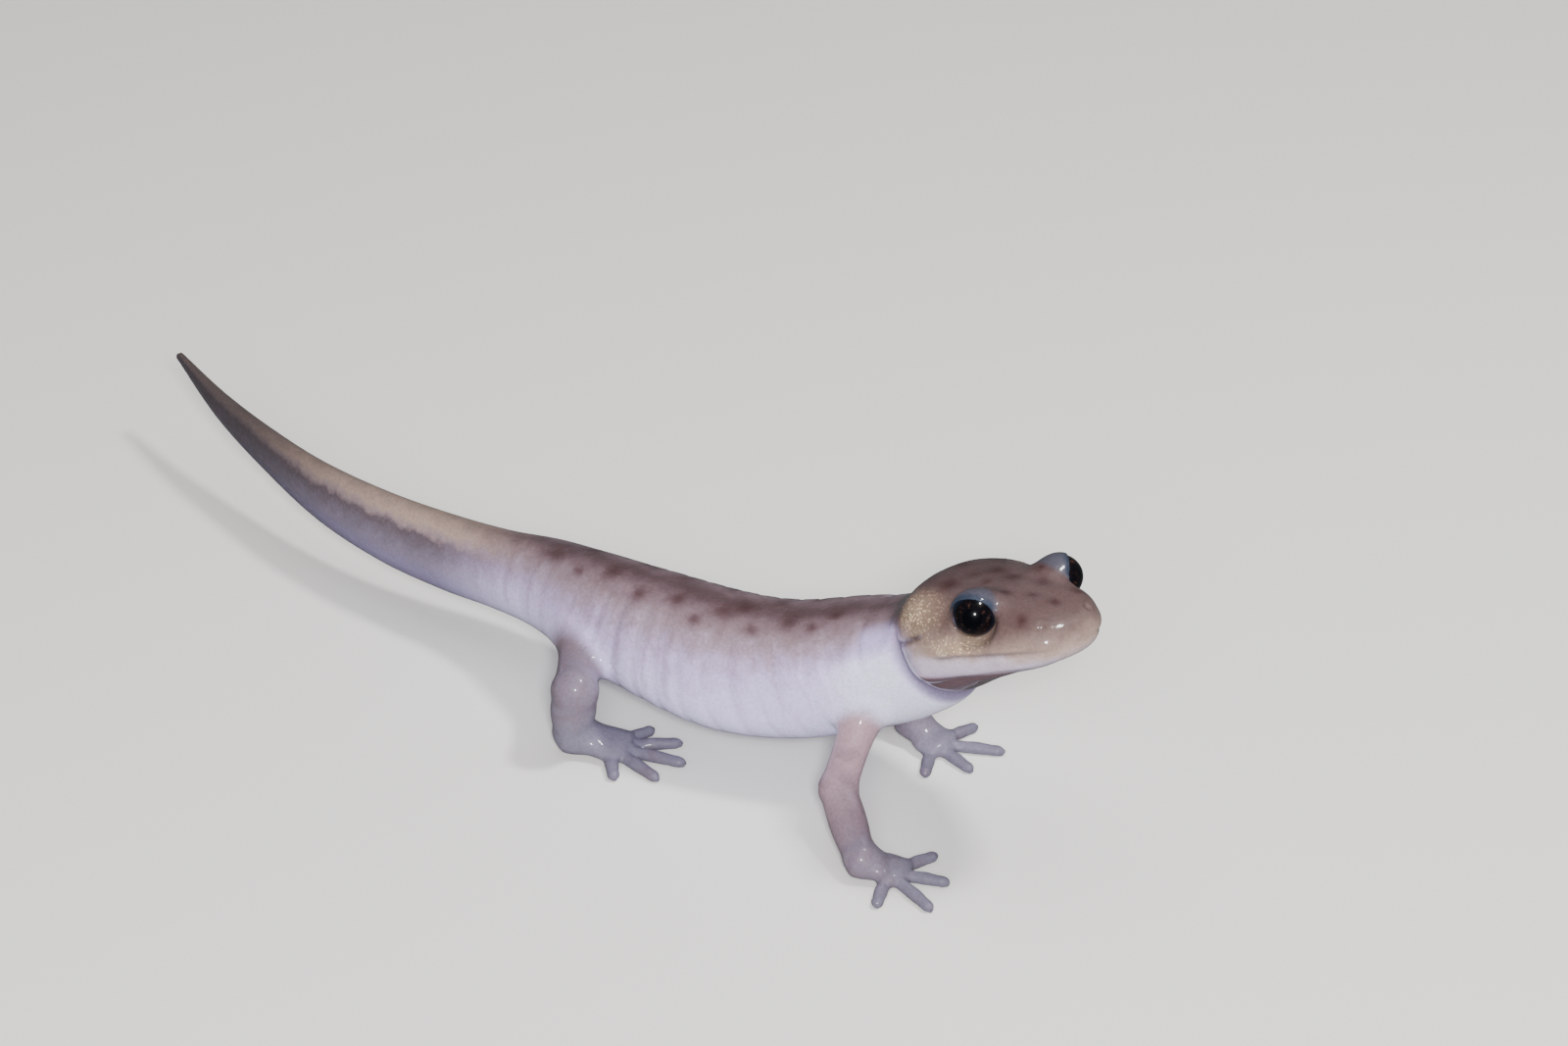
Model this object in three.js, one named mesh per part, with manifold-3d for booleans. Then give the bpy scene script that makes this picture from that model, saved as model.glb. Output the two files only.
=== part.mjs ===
// A young, recently land-living salamander standing alert, life size, in millimetres.
// The animal faces +X with its back towards +Z, and its soles stand on the plane z = 0.
import * as THREE from 'three';
import { mergeVertices } from 'three/addons/utils/BufferGeometryUtils.js';
import Module from 'manifold-3d';

const wasm = await Module();
wasm.setup();

// Driving dimensions
const headLength = 14.3;
const headYaw = -16.3; // degrees, towards the animal's right
const headPitch = 23; // degrees, snout up
const occiput = new THREE.Vector3(-2.1, 10.0, 14.4); // where the skull meets the neck
const eyeRadius = 1.66;
const eyeForward = 8.7; // from the occiput along the head
const eyeAside = 3.75;
const eyeAbove = 2.0;
const browInset = 0.6; // the bulge that seats the eye lies inwards and below its centre
const browDrop = 0.45;
const browThickness = 0.3;
const mouth = { corner: 5, level: -0.8, fall: 5 }; // its line drops towards the snout
const partGap = 0.12; // thin cut between neighbouring pieces
const finestDetail = 0.012;
const soleLevel = 0;
const solePress = 0.08; // how far the soles are flattened against the floor
const armRadius = 1.22;
const legRadius = 1.48;
const bodySides = 20;
const limbSides = 10;
const digitSides = 7;

// Colours of the animal in life
const backColour = 0x6f5850;
const cheekColour = 0x8d7a63;
const lipColour = 0xb7b0b4;
const flankColour = 0x9c8f9f;
const bellyColour = 0xbcb6cf;
const tailColour = 0x8b7f8c;
const limbColour = 0x9d8487;
const footColour = 0x8f8a9c;
const eyeColour = 0x0b0c12;

const degrees = THREE.MathUtils.degToRad;

// The head's own directions: forward along the skull, to the animal's left, and up
const headForward = new THREE.Vector3(
  Math.cos(degrees(headPitch)) * Math.cos(degrees(headYaw)),
  Math.cos(degrees(headPitch)) * Math.sin(degrees(headYaw)),
  Math.sin(degrees(headPitch)),
);
const headLeft = new THREE.Vector3(-Math.sin(degrees(headYaw)), Math.cos(degrees(headYaw)), 0);
const headUp = new THREE.Vector3().crossVectors(headForward, headLeft);

function headPoint(forward, left, up) {
  return occiput
    .clone()
    .addScaledVector(headForward, forward)
    .addScaledVector(headLeft, left)
    .addScaledVector(headUp, up);
}

// One station of a tube of flesh: its centre, half its width, its height above and below the
// centre, and how square its section is (2 is an ellipse).
function station(centre, half, above, below = above, square = 2) {
  return { centre, half, above, below, square };
}

function skull(forward, lift, half, above, below, square) {
  return station(headPoint(forward, 0, lift), half, above, below, square);
}

function place(x, y, z) {
  return new THREE.Vector3(x, y, z);
}

// From the snout to the tail's tip
const spine = [
  skull(headLength, -0.75, 0.14, 0.1, 0.1, 2),
  skull(13.8, -0.7, 2.2, 1.15, 1.2, 2.3),
  skull(11.7, -0.3, 3.85, 2.2, 2.3, 2.4),
  skull(8.7, 0, 4.75, 2.95, 3.1, 2.4),
  skull(5.6, 0, 5.25, 3.5, 3.8, 2.3),
  skull(2.4, 0, 5.1, 3.8, 4.7, 2.2),
  skull(-0.6, -0.2, 4.35, 2.7, 5.3, 2),
  station(place(-5.0, 10.0, 12.1), 4.4, 2.3, 5.9),
  station(place(-8.4, 9.4, 10.2), 4.7, 3.0, 6.1),
  station(place(-13.0, 7.8, 8.2), 4.95, 3.9, 5.7),
  station(place(-18.0, 6.6, 7.0), 5.0, 4.9, 5.0),
  station(place(-23.7, 6.4, 6.6), 4.6, 5.1, 3.9),
  station(place(-29.4, 7.0, 6.5), 3.8, 4.6, 3.4),
  station(place(-34.4, 8.1, 6.3), 3.1, 3.7, 3.2),
  station(place(-39.2, 8.5, 6.0), 2.6, 3.0, 3.2, 1.9),
  station(place(-44.2, 8.4, 5.8), 2.2, 3.0, 3.2, 1.8),
  station(place(-50.2, 8.6, 5.7), 1.75, 3.0, 3.0, 1.7),
  station(place(-56.9, 9.7, 5.7), 1.35, 2.7, 2.5, 1.7),
  station(place(-63.6, 11.7, 6.0), 1.0, 2.1, 1.9, 1.7),
  station(place(-70.4, 14.1, 6.6), 0.7, 1.35, 1.2, 1.8),
  station(place(-77.4, 17.3, 7.4), 0.28, 0.35, 0.35, 2),
];
const stationOf = { lastOfHead: 6, neckEnd: 7.6, chestEnd: 10, trunkEnd: 12, pelvisEnd: 13.4 };
const tailCuts = [15.4, 17.6];

// A path through the stations, with their sizes following on a second curve of the same steps.
function pathThrough(stations, upHint = new THREE.Vector3(0, 0, 1)) {
  const steps = stations.length - 1;
  const centres = new THREE.CatmullRomCurve3(stations.map((s) => s.centre), false, 'catmullrom', 0.5);
  const sizes = new THREE.CatmullRomCurve3(
    stations.map((s) => place(s.half, s.above, s.below)), false, 'catmullrom', 0.5,
  );
  const squares = new THREE.CatmullRomCurve3(
    stations.map((s) => place(s.square, 0, 0)), false, 'catmullrom', 0.5,
  );
  return {
    steps,
    at(step) {
      const u = THREE.MathUtils.clamp(step / steps, 0, 1);
      const centre = centres.getPoint(u);
      const forward = centres.getTangent(u).negate();
      const right = new THREE.Vector3().crossVectors(forward, upHint).normalize();
      const up = new THREE.Vector3().crossVectors(right, forward).normalize();
      const [half, above, below] = sizes.getPoint(u).toArray();
      return { centre, forward, right, up, half, above, below, square: squares.getPoint(u).x };
    },
  };
}

// A closed tube of flesh between two steps of a path, grown outwards by `grow`.
function fleshTube(path, from, to, rings, sides, grow = 0) {
  const geometry = new THREE.CylinderGeometry(1, 1, 1, sides, rings);
  const position = geometry.getAttribute('position');
  for (let i = 0; i < position.count; i++) {
    const across = position.getX(i);
    const along = 0.5 - position.getY(i);
    const upward = position.getZ(i);
    const s = path.at(THREE.MathUtils.lerp(from, to, along));
    const squareness = Math.abs(across) ** s.square + Math.abs(upward) ** s.square;
    const reach = squareness > 0 ? squareness ** (-1 / s.square) : 0;
    const height = (upward > 0 ? s.above : s.below) + grow;
    const point = s.centre
      .addScaledVector(s.right, across * reach * (s.half + grow))
      .addScaledVector(s.up, upward * reach * height);
    position.setXYZ(i, point.x, point.y, point.z);
  }
  return geometry;
}

// A closed geometry as a solid that can be joined and cut.
function solidOf(geometry) {
  const bare = geometry.index ? geometry.clone() : geometry;
  bare.deleteAttribute('normal');
  bare.deleteAttribute('uv');
  const merged = mergeVertices(bare, 1e-4);
  return new wasm.Manifold(
    new wasm.Mesh({
      numProp: 3,
      vertProperties: new Float32Array(merged.getAttribute('position').array),
      triVerts: new Uint32Array(merged.index.array),
    }),
  );
}

function geometryOf(solid) {
  const mesh = solid.getMesh();
  const geometry = new THREE.BufferGeometry();
  const corners = new Float32Array(mesh.numVert * 3);
  for (let i = 0; i < mesh.numVert; i++) {
    corners.set(mesh.vertProperties.subarray(i * mesh.numProp, i * mesh.numProp + 3), i * 3);
  }
  geometry.setAttribute('position', new THREE.BufferAttribute(corners, 3));
  geometry.setIndex(new THREE.BufferAttribute(new Uint32Array(mesh.triVerts), 1));
  geometry.computeVertexNormals();
  return geometry;
}

function ball(centre, radius, across = 20, down = 12) {
  return new THREE.SphereGeometry(radius, across, down).translate(centre.x, centre.y, centre.z);
}

// The room of the lower jaw: all that lies in front of the corner of the mouth and below its
// line, drawn in by `shrink` (or let out, where it is negative).
function jawRoom(shrink) {
  const back = shrink;
  const front = headLength + 2;
  const depth = 8;
  const room = new THREE.BoxGeometry(front - back, 16, depth);
  room.translate((front + back) / 2, 0, -shrink - depth / 2);
  room.rotateY(degrees(mouth.fall));
  const turn = new THREE.Matrix4().makeBasis(headForward, headLeft, headUp);
  turn.setPosition(headPoint(mouth.corner, 0, mouth.level));
  return solidOf(room.applyMatrix4(turn));
}

const animal = new THREE.Group();
animal.name = 'salamander';

function addPiece(name, solid, colour, roughness = 0.35) {
  const material = new THREE.MeshStandardMaterial({ color: colour, roughness, metalness: 0 });
  const mesh = new THREE.Mesh(geometryOf(solid.asOriginal().simplify(finestDetail)), material);
  mesh.name = name;
  animal.add(mesh);
}

const body = pathThrough(spine);
const cutStep = 0.012; // half the gap between two lengths of the body, in steps of the path

function lengthOfBody(from, to, rings) {
  const start = from === 0 ? 0 : from + cutStep;
  const end = to === body.steps ? to : to - cutStep;
  return solidOf(fleshTube(body, start, end, rings, bodySides));
}

function buildHead() {
  let head = lengthOfBody(0, stationOf.lastOfHead, 26);
  for (const side of [-1, 1]) {
    const brow = ball(
      headPoint(eyeForward - 0.1, side * (eyeAside - browInset), eyeAbove - browDrop),
      eyeRadius + browThickness, 16, 12,
    );
    head = head.add(solidOf(brow));
  }
  for (const side of [-1, 1]) {
    const socket = ball(headPoint(eyeForward, side * eyeAside, eyeAbove), eyeRadius + partGap);
    head = head.subtract(solidOf(socket));
  }
  addPiece('head', head.subtract(jawRoom(-partGap / 2)), backColour);
  addPiece('lower_jaw', head.intersect(jawRoom(partGap / 2)), lipColour);
}

function buildEye(name, side) {
  const centre = headPoint(eyeForward, side * eyeAside, eyeAbove);
  addPiece(name, solidOf(ball(centre, eyeRadius, 20, 12)), eyeColour, 0.05);
}

function buildTrunk() {
  addPiece('neck', lengthOfBody(stationOf.lastOfHead, stationOf.neckEnd, 5), bellyColour);
  addPiece('chest', lengthOfBody(stationOf.neckEnd, stationOf.chestEnd, 8), flankColour);
  addPiece('trunk', lengthOfBody(stationOf.chestEnd, stationOf.trunkEnd, 8), flankColour);
  addPiece('pelvis', lengthOfBody(stationOf.trunkEnd, stationOf.pelvisEnd, 5), flankColour);
}

function buildTail() {
  const cuts = [stationOf.pelvisEnd, ...tailCuts, body.steps];
  ['tail_base', 'tail_middle', 'tail_tip'].forEach((name, i) => {
    addPiece(name, lengthOfBody(cuts[i], cuts[i + 1], 9), tailColour);
  });
}

// The whole body, a hair larger, clears the roots of the limbs.
const bodyCleared = solidOf(fleshTube(body, 0, body.steps, 90, bodySides, partGap));
const belowFloor = solidOf(new THREE.BoxGeometry(200, 200, 20).translate(-30, 8, soleLevel - 10));

// A digit is a tapering tube from the middle of the foot to its tip, pressed flat underneath.
function digit(centre, heading, reach, root, radius) {
  const out = place(Math.cos(degrees(heading)), Math.sin(degrees(heading)), 0);
  const joint = (share, half, depth) => station(
    centre.clone().addScaledVector(out, reach * share).setZ(radius * depth - solePress),
    radius * half,
    radius * depth,
  );
  return pathThrough([
    joint(root, 1.15, 1),
    joint(0.5, 1, 0.92),
    joint(0.8, 0.95, 0.86),
    joint(0.95, 0.76, 0.7),
    joint(1, 0.15, 0.45),
  ]);
}

// A limb runs from inside the body over its middle joint to the foot. Its digits fan out about
// the foot's heading, from the inner side of the foot to the outer.
function buildLimb({ names, side, joints, radius, foot, digits, upHint }) {
  const [root, bend, ankle] = joints.map((j) => place(...j));
  const centre = place(...foot.centre);
  const out = place(Math.cos(degrees(foot.heading)), Math.sin(degrees(foot.heading)), 0);
  const knuckles = centre.clone().addScaledVector(out, foot.length * 0.3).setZ(foot.height * 0.85);
  const limb = pathThrough([
    station(root, radius * 1.4, radius * 1.4),
    station(root.clone().lerp(bend, 0.55), radius * 1.02, radius * 1.02),
    station(bend, radius * 1.08, radius * 1.08),
    station(bend.clone().lerp(ankle, 0.5), radius * 1.08, radius * 1.08),
    station(ankle, radius * 0.96, radius * 0.84),
  ], upHint);
  const palm = pathThrough([
    station(ankle, radius * 0.98, radius * 0.86),
    station(ankle.clone().lerp(centre, 0.6), radius * 1.06, radius * 0.68),
    station(centre, foot.half, foot.height),
    station(knuckles, foot.half * 0.9, foot.height * 0.85),
    station(knuckles.clone().addScaledVector(out, 0.5), 0.2, 0.15),
  ]);
  let sole = solidOf(fleshTube(palm, 0.12, palm.steps, 6, limbSides));
  digits.forEach(({ fan, reach }) => {
    const one = digit(centre, foot.heading - side * fan, reach, foot.root, foot.digitRadius);
    sole = sole.add(solidOf(fleshTube(one, 0, one.steps, 5, digitSides)));
  });
  const upper = solidOf(fleshTube(limb, 0, 1.98, 7, limbSides)).subtract(bodyCleared);
  const middleFull = fleshTube(limb, 2.02, 4, 7, limbSides);
  const upperGrown = solidOf(fleshTube(limb, 0, 1.98, 7, limbSides, partGap));
  const middle = solidOf(middleFull).subtract(upperGrown);
  const middleGrown = solidOf(fleshTube(limb, 2.0, 4, 7, limbSides, partGap));
  const [upperName, middleName, soleName] = names;
  addPiece(upperName, largest(upper), limbColour);
  addPiece(middleName, largest(middle.subtract(belowFloor)), limbColour);
  addPiece(soleName, largest(sole.subtract(middleGrown).subtract(belowFloor)), footColour);
}

// The one biggest body of a cut solid, without the slivers that a cut leaves.
function largest(solid) {
  return solid.decompose().reduce((a, b) => (a.volume() > b.volume() ? a : b));
}

const handDigits = [
  { fan: -68, reach: 4.0 },
  { fan: -20, reach: 4.25 },
  { fan: 21, reach: 5.1 },
  { fan: 68, reach: 3.9 },
];
const footDigits = [
  { fan: -58, reach: 3.9 },
  { fan: -28, reach: 5.2 },
  { fan: -1, reach: 5.8 },
  { fan: 27, reach: 5.3 },
  { fan: 62, reach: 3.9 },
];
const hand = { length: 3.4, half: 1.6, height: 0.7, root: 0.12, digitRadius: 0.45 };
const hindFoot = { length: 4.2, half: 1.8, height: 0.78, root: 0.1, digitRadius: 0.47 };

const limbs = [
  {
    names: ['upper_arm_right', 'forearm_right', 'hand_right'],
    side: 1,
    joints: [[-6.5, 7.6, 8.2], [-5.6, 2.2, 3.3], [-1.3, -1.4, 1.25]],
    radius: armRadius,
    foot: { ...hand, centre: [0.5, -0.6, 0.62], heading: 0 },
    digits: handDigits,
    upHint: place(0.7, 0.1, 0.7),
  },
  {
    names: ['upper_arm_left', 'forearm_left', 'hand_left'],
    side: -1,
    joints: [[-7.6, 11.2, 9.0], [-9.9, 15.4, 5.2], [-8.0, 14.8, 1.4]],
    radius: armRadius,
    foot: { ...hand, centre: [-5.8, 14.4, 0.62], heading: 3 },
    digits: handDigits,
    upHint: place(0.7, -0.1, 0.7),
  },
  {
    names: ['thigh_right', 'shank_right', 'foot_right'],
    side: 1,
    joints: [[-29.6, 5.6, 6.3], [-25.6, -1.0, 5.6], [-26.6, -0.2, 1.35]],
    radius: legRadius,
    foot: { ...hindFoot, centre: [-24.2, 0.9, 0.7], heading: 14 },
    digits: footDigits,
    upHint: place(1, 0.4, 0.3),
  },
  {
    names: ['thigh_left', 'shank_left', 'foot_left'],
    side: -1,
    joints: [[-30.2, 8.8, 6.0], [-30.4, 14.6, 4.3], [-34.0, 15.4, 1.35]],
    radius: legRadius,
    foot: { ...hindFoot, centre: [-31.8, 16.6, 0.7], heading: 24 },
    digits: footDigits,
    upHint: place(0.8, -0.3, 0.5),
  },
];

buildHead();
buildEye('eye_right', -1);
buildEye('eye_left', 1);
buildTrunk();
buildTail();
limbs.forEach(buildLimb);

// The part's origin is on the floor, under the middle of the animal's box.
const box = new THREE.Box3().setFromObject(animal);
const middle = box.getCenter(new THREE.Vector3());
animal.position.set(-middle.x, -middle.y, -box.min.z);

export default animal;
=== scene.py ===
# Young mole salamander, life size, standing alert on a plain pale floor.
import bpy
import math
import numpy as np
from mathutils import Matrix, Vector


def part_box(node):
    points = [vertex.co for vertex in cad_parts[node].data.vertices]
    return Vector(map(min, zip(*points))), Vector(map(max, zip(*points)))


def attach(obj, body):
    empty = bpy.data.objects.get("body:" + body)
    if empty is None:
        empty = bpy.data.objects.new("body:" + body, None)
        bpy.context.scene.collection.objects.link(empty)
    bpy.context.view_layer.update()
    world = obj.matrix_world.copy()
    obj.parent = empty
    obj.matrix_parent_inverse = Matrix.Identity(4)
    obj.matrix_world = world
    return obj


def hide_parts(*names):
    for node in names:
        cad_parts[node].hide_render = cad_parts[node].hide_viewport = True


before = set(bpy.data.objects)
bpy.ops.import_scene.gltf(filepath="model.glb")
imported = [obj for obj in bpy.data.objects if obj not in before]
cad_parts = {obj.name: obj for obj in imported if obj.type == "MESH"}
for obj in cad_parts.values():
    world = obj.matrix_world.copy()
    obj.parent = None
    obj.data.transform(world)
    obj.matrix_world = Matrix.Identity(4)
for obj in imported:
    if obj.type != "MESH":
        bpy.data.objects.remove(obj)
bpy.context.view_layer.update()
mm = 0.001


def unit(v):
    v = np.asarray(v, float)
    return v / np.linalg.norm(v)


def smoothStep(low, high, x):
    t = np.clip((x - low) / (high - low), 0, 1)
    return t * t * (3 - 2 * t)


def bell(x, middle, spread):
    return np.exp(-(((x - middle) / spread) ** 2))


def blendMin(a, b, k):  # joins two fields with a fillet of about k
    h = np.clip(1 - np.abs(a - b) / k, 0, 1)
    return np.minimum(a, b) - h * h * k / 4


def blendMax(a, b, k):
    return -blendMin(-a, -b, k)


# The animal's shape is worked out in millimetres, with the right palm as the origin, and is
# moved into the row's frame at the end.
skull = {
    "occiput": (-2.1, 10.0, 14.4),
    "yaw": math.radians(-16.3),
    "pitch": math.radians(23),
}
eyeShape = {
    "radius": 1.56,
    "place": (8.7, 3.75, 2.0),  # forward, aside and up from the occiput
    "gaze": (0.72, 0.69, 0.02),
    "axis": (0.39, 0.79, -0.47),  # the middle of the opening: the upper lid hangs lower
    "opening": math.radians(84),
    "dishAhead": 0.85, "dishRadius": 1.66,  # the soft dish in the flesh that the ball sits in
    "browPlace": (8.6, 3.1, 1.5), "browOut": 0.41,  # the bulge over the ball, beyond its radius
    "lidThickness": 0.1,
    "socketInset": 0.3, "rimInset": 0.08,  # the cut inside the ball, and behind the lids' edge
    "fillets": {"brow": 0.9, "dish": 1.0, "rim": 0.16, "lid": 0.35},
}
cosPitch, sinPitch = math.cos(skull["pitch"]), math.sin(skull["pitch"])
cosYaw, sinYaw = math.cos(skull["yaw"]), math.sin(skull["yaw"])
headForward = np.array([cosPitch * cosYaw, cosPitch * sinYaw, sinPitch])
headLeft = np.array([-sinYaw, cosYaw, 0.0])
headUp = np.cross(headForward, headLeft)
headAxes = np.stack([headForward, headLeft, headUp])
occiput = np.array(skull["occiput"])


def headPoint(forward, left, up):
    return occiput + np.array([forward, left, up]) @ headAxes


def eyeCentre(side):
    f, l, u = eyeShape["place"]
    return headPoint(f, l * side, u)


def eyeDirection(name, side):
    f, l, u = unit(eyeShape[name])
    return np.array([f, l * side, u]) @ headAxes


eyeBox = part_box("eye_right")
eyeMiddle = np.array((eyeBox[0] + eyeBox[1]) / 2) / mm
toRow = eyeMiddle - eyeCentre(-1)

# Camera: the photograph's own standpoint, 31 degrees above the animal, ahead and to its right
viewFrom = {
    "place": (159.094, -239.384, 199.710),
    "tilt": 59.063,
    "turn": 35.0,
    "lens": 118.125,
}
cameraData = bpy.data.cameras.new("camera")
cameraData.lens = viewFrom["lens"]
cameraData.sensor_width = 36
cameraData.clip_start = 0.01
camera = bpy.data.objects.new("camera", cameraData)
camera.location = Vector((np.array(viewFrom["place"]) + toRow) * mm)
camera.rotation_euler = (math.radians(viewFrom["tilt"]), 0, math.radians(viewFrom["turn"]))
bpy.context.scene.collection.objects.link(camera)
bpy.context.scene.camera = camera
print("camera placed")


# A tube of flesh is a row of stations: place, half width, height above and below, squareness.
def headStation(forward, lift, *sizes):
    return (*headPoint(forward, 0, lift), *sizes)


bodyShape = {
    "stations": [
        headStation(14.3, -0.75, 0.14, 0.1, 0.1, 2),
        headStation(13.8, -0.7, 2.2, 1.15, 1.2, 2.3),
        headStation(11.7, -0.3, 3.85, 2.2, 2.3, 2.4),
        headStation(8.7, 0, 4.75, 2.95, 3.1, 2.4),
        headStation(5.6, 0, 5.25, 3.5, 3.8, 2.3),
        headStation(2.4, 0, 5.1, 3.8, 4.7, 2.2),
        headStation(-0.6, -0.2, 4.35, 2.7, 5.3, 2),
        (-5.0, 10.0, 12.1, 4.4, 2.3, 5.9, 2),
        (-8.4, 9.4, 10.2, 4.7, 3.0, 6.1, 2),
        (-13.0, 7.8, 8.2, 4.95, 3.9, 5.7, 2),
        (-18.0, 6.6, 7.0, 5.0, 4.9, 5.0, 2),
        (-23.7, 6.4, 6.6, 4.6, 5.1, 3.9, 2),
        (-29.4, 7.0, 6.5, 3.8, 4.6, 3.4, 2),
        (-34.4, 8.1, 6.3, 3.1, 3.7, 3.2, 2),
        (-39.2, 8.5, 6.0, 2.6, 3.0, 3.2, 1.9),
        (-44.2, 8.4, 5.8, 2.2, 3.0, 3.2, 1.8),
        (-50.2, 8.6, 5.7, 1.75, 3.0, 3.0, 1.7),
        (-56.9, 9.7, 5.7, 1.35, 2.7, 2.5, 1.7),
        (-63.6, 11.7, 6.0, 1.0, 2.1, 1.9, 1.7),
        (-70.4, 14.1, 6.6, 0.7, 1.35, 1.2, 1.8),
        (-77.4, 17.3, 7.4, 0.28, 0.35, 0.35, 2),
    ],
    "samples": 361,
}


def catmullRom(rows, t):
    rows = np.asarray(rows, float)
    padded = np.vstack([2 * rows[0] - rows[1], rows, 2 * rows[-1] - rows[-2]])
    i = np.clip(t.astype(int), 0, len(rows) - 2)
    x = (t - i)[:, None]
    a, b, c, d = (padded[i + k] for k in range(4))
    bend = (2 * a - 5 * b + 4 * c - d) * x**2 + (3 * b - a - 3 * c + d) * x**3
    return 0.5 * (2 * b + (c - a) * x + bend)


def tubeTable(stations, samples, upHint=(0, 0, 1)):
    t = np.linspace(0, len(stations) - 1, samples)
    rows = catmullRom(stations, t)
    centre = rows[:, :3]
    forward = -np.gradient(centre, axis=0)
    forward /= np.linalg.norm(forward, axis=1, keepdims=True)
    right = np.cross(forward, upHint)
    right /= np.linalg.norm(right, axis=1, keepdims=True)
    steps = np.linalg.norm(np.diff(centre, axis=0), axis=1)
    return {
        "centre": centre,
        "forward": forward,
        "right": right,
        "up": np.cross(right, forward),
        "size": np.maximum(rows[:, 3:], 0.05),
        "along": np.concatenate([[0], np.cumsum(steps)]),
        "reach": float(rows[:, 3:6].max()) + 3,
    }


# Distance to a tube, with how far along it a point is (mm) and where it is across and up, from
# -1 to 1 at the surface.
def tubeField(table, p):
    centre, along = table["centre"], table["along"]
    near = np.empty(len(p), int)
    batch = 20000  # points at a time, to spare memory
    for start in range(0, len(p), batch):
        q = p[start:start + batch]
        gaps = (q**2).sum(1)[:, None] - 2 * q @ centre.T + (centre**2).sum(1)
        near[start:start + batch] = gaps.argmin(1)
    offset = ((p - centre[near]) * -table["forward"][near]).sum(1)
    s = np.clip(along[near] + offset, along[0], along[-1])
    k = np.clip(np.searchsorted(along, s) - 1, 0, len(along) - 2)
    x = ((s - along[k]) / (along[k + 1] - along[k]))[:, None]

    def between(values):
        return values[k] * (1 - x) + values[k + 1] * x

    gap = p - between(centre)
    right, up, forward = between(table["right"]), between(table["up"]), between(table["forward"])
    size = between(table["size"])
    a, b = (gap * right).sum(1), (gap * up).sum(1)
    tall = np.where(b > 0, size[:, 1], size[:, 2])
    across, upward, square = a / size[:, 0], b / tall, size[:, 3]
    q = (np.abs(across) ** square + np.abs(upward) ** square + 1e-9) ** (1 / square)
    r = np.hypot(a, b)
    d = np.where(q > 1e-3, r - r / np.maximum(q, 1e-3), -np.minimum(size[:, 0], tall))
    past = np.abs((gap * forward).sum(1)) * ((s <= along[0]) | (s >= along[-1]))
    d = np.where(past > 1e-6, np.hypot(np.maximum(d, 0), past), d)
    return d, s, across, upward


# Limbs: joints from inside the body to the wrist or ankle, and digits that fan out from the sole
hand = {
    "length": 3.4, "half": 1.6, "height": 0.7, "root": 0.12, "digitRadius": 0.45,
    "digits": [(-68, 4.0), (-20, 4.25), (21, 5.1), (68, 3.9)],
}
hindFoot = {
    "length": 4.2, "half": 1.8, "height": 0.78, "root": 0.1, "digitRadius": 0.47,
    "digits": [(-58, 3.9), (-28, 5.2), (-1, 5.8), (27, 5.3), (62, 3.9)],
}
digitProfile = [  # share of the digit's reach, half width and depth; the joints are slightly thicker
    (0.42, 0.98, 0.9), (0.6, 1.04, 0.95), (0.8, 0.9, 0.85), (0.92, 0.9, 0.8), (1.0, 0.3, 0.5),
]
limbBuild = {
    "samples": 33, "digitSamples": 25,
    "pressed": 0.07,  # how far the undersides of the digits sink into the floor
    "fillets": {"bend": 0.6, "ball": 0.3, "palm": 1.0, "digit": 0.32},
    "margin": 4.2,  # how far from its middle line a limb can change the flesh
}
limbShapes = {
    "armRight": {
        "side": 1, "radius": 1.22, "sole": hand, "fillet": 1.3,
        "joints": [(-6.5, 7.6, 8.2), (-5.6, 2.2, 3.3), (-1.3, -1.4, 1.25)],
        "centre": (0.5, -0.6, 0.62), "heading": 0, "upHint": (0.7, 0.1, 0.7),
    },
    "armLeft": {
        "side": -1, "radius": 1.22, "sole": hand, "fillet": 1.3,
        "joints": [(-7.6, 11.2, 9.0), (-9.9, 15.4, 5.2), (-8.0, 14.8, 1.4)],
        "centre": (-5.8, 14.4, 0.62), "heading": 3, "upHint": (0.7, -0.1, 0.7),
    },
    "legRight": {
        "side": 1, "radius": 1.48, "sole": hindFoot, "fillet": 1.6,
        "joints": [(-29.6, 5.6, 6.3), (-25.6, -1.0, 5.6), (-26.6, -0.2, 1.35)],
        "centre": (-24.2, 0.9, 0.7), "heading": 14, "upHint": (1, 0.4, 0.3),
    },
    "legLeft": {
        "side": -1, "radius": 1.48, "sole": hindFoot, "fillet": 1.6,
        "joints": [(-30.2, 8.8, 6.0), (-30.4, 14.6, 4.3), (-34.0, 15.4, 1.35)],
        "centre": (-31.8, 16.6, 0.7), "heading": 24, "upHint": (0.8, -0.3, 0.5),
    },
}


def heading(degrees):
    return np.array([math.cos(math.radians(degrees)), math.sin(math.radians(degrees)), 0.0])


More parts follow.
